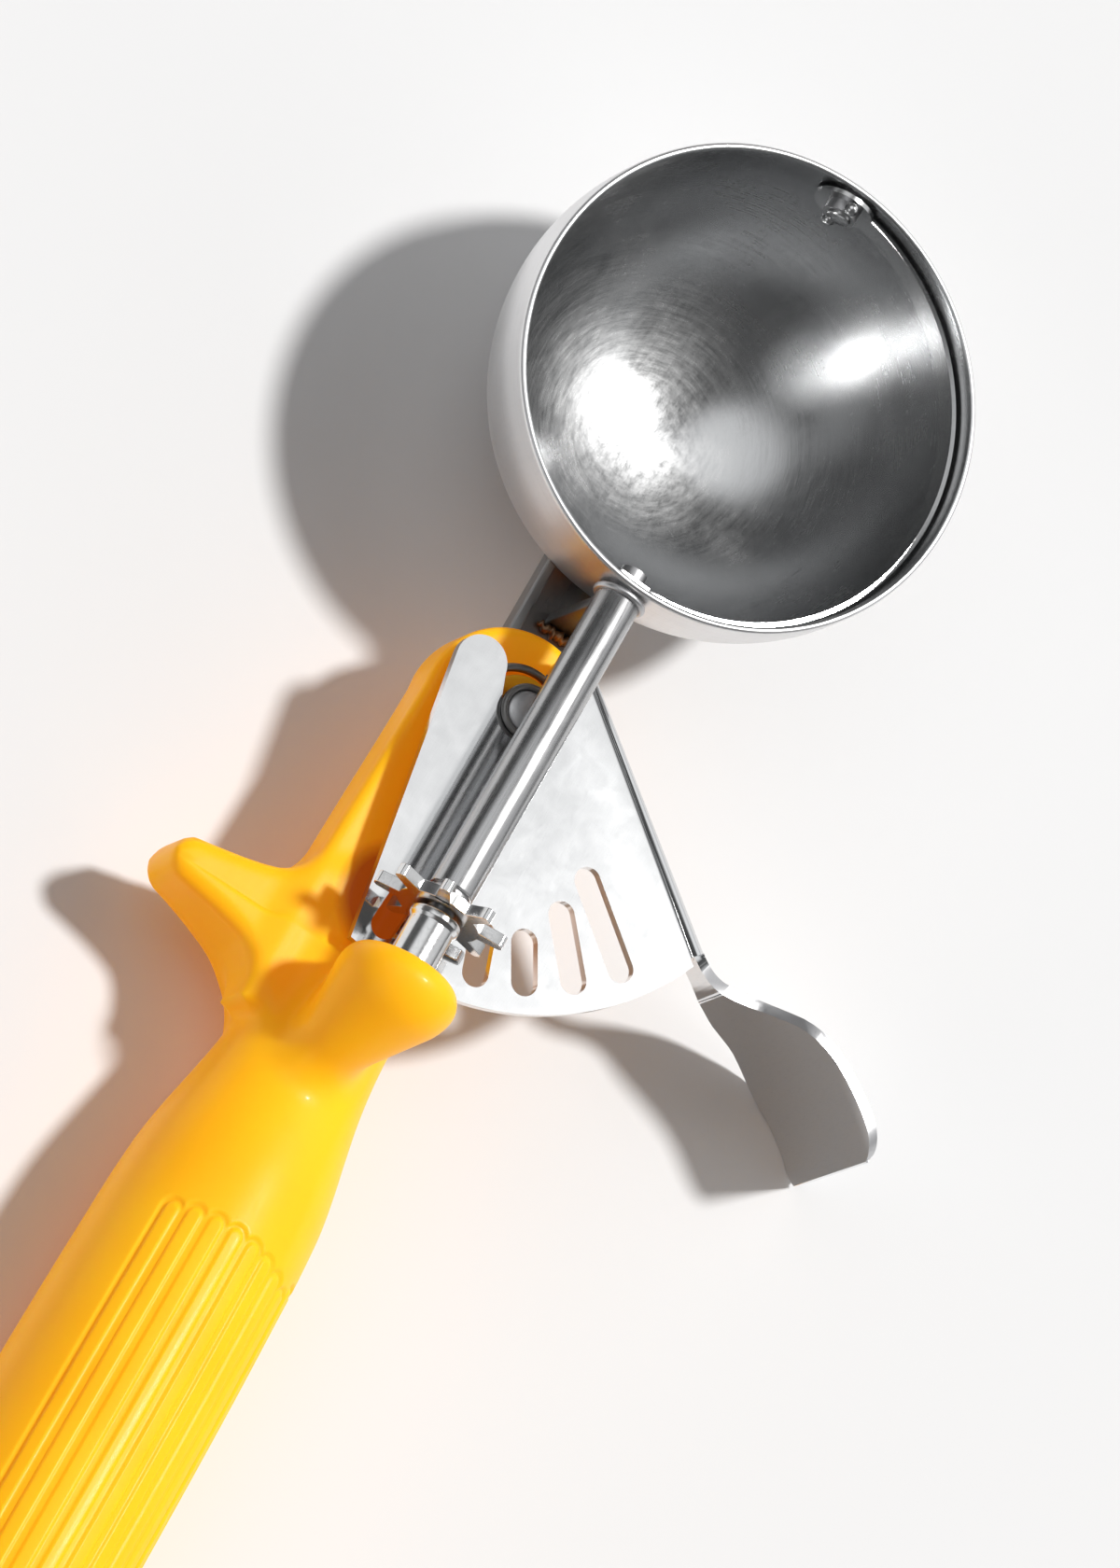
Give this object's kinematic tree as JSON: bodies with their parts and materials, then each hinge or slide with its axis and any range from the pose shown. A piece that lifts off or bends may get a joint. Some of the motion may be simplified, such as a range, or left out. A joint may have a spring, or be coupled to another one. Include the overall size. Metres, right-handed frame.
{
  "type": "lever ice cream scoop",
  "caption": "Ice cream scoop with a round bowl, a thumb lever whose slotted plate turns a star pinion and a sweeping scraper, and a ribbed moulded grip.",
  "frame": {"origin": "centre of the bowl's half sphere, on the drive axis", "axes": "+X from the butt of the grip to the bowl along the drive axis, +Z out of the bowl's mouth, thumb pad on the -Y side, finger rest on the +Y side"},
  "size_m": [0.2101, 0.0852, 0.0343],
  "materials": {
    "handle_plastic": "glossy, slightly translucent yellow",
    "bush_plastic": "mustard, satin",
    "bowl_steel": "circular brushing inside, polished outside",
    "polished_steel": "polished",
    "plain_steel": "satin",
    "dark_steel": "dark, worn",
    "bronze": "dull bronze-brown"
  },
  "bodies": {
    "body_frame": {"bowl": "bowl_steel", "shank_channel": "plain_steel", "guide_tube": "plain_steel", "tube_bushes": "bronze", "tube_saddle": "bronze", "braze_beads": "bronze", "handle": "handle_plastic", "rear_sleeve": "polished_steel", "spring_bush": "bush_plastic", "pivot_rivet": "dark_steel", "rivet_washer": "plain_steel", "torsion_spring": "plain_steel", "far_pin": "polished_steel"},
    "lever": {"lever_plate": "polished_steel"},
    "scraper": {"pinion": "plain_steel", "drive_spindle": "plain_steel", "scraper_blade": "polished_steel", "near_hub": "plain_steel", "far_hub": "plain_steel", "ball_rivets": "polished_steel"}
  },
  "joints": [
    {"name": "lever_hinge", "type": "hinge", "parent": "body_frame", "child": "lever", "pos_m": [-0.04225, 0.0012, -0.0063], "axis": [0, 0, -1], "range_deg": [0, 45], "stiffness_Nm_per_rad": 0.15, "springref_deg": -28.65, "deforming": ["torsion_spring"]},
    {"name": "scraper_spin", "type": "hinge", "parent": "body_frame", "child": "scraper", "pos_m": [0, 0, 0], "axis": [1, 0, 0], "range_deg": [0, 180]}
  ],
  "couplings": [
    {"joint": "scraper_spin", "follows": "lever_hinge", "ratio": 4}
  ]
}
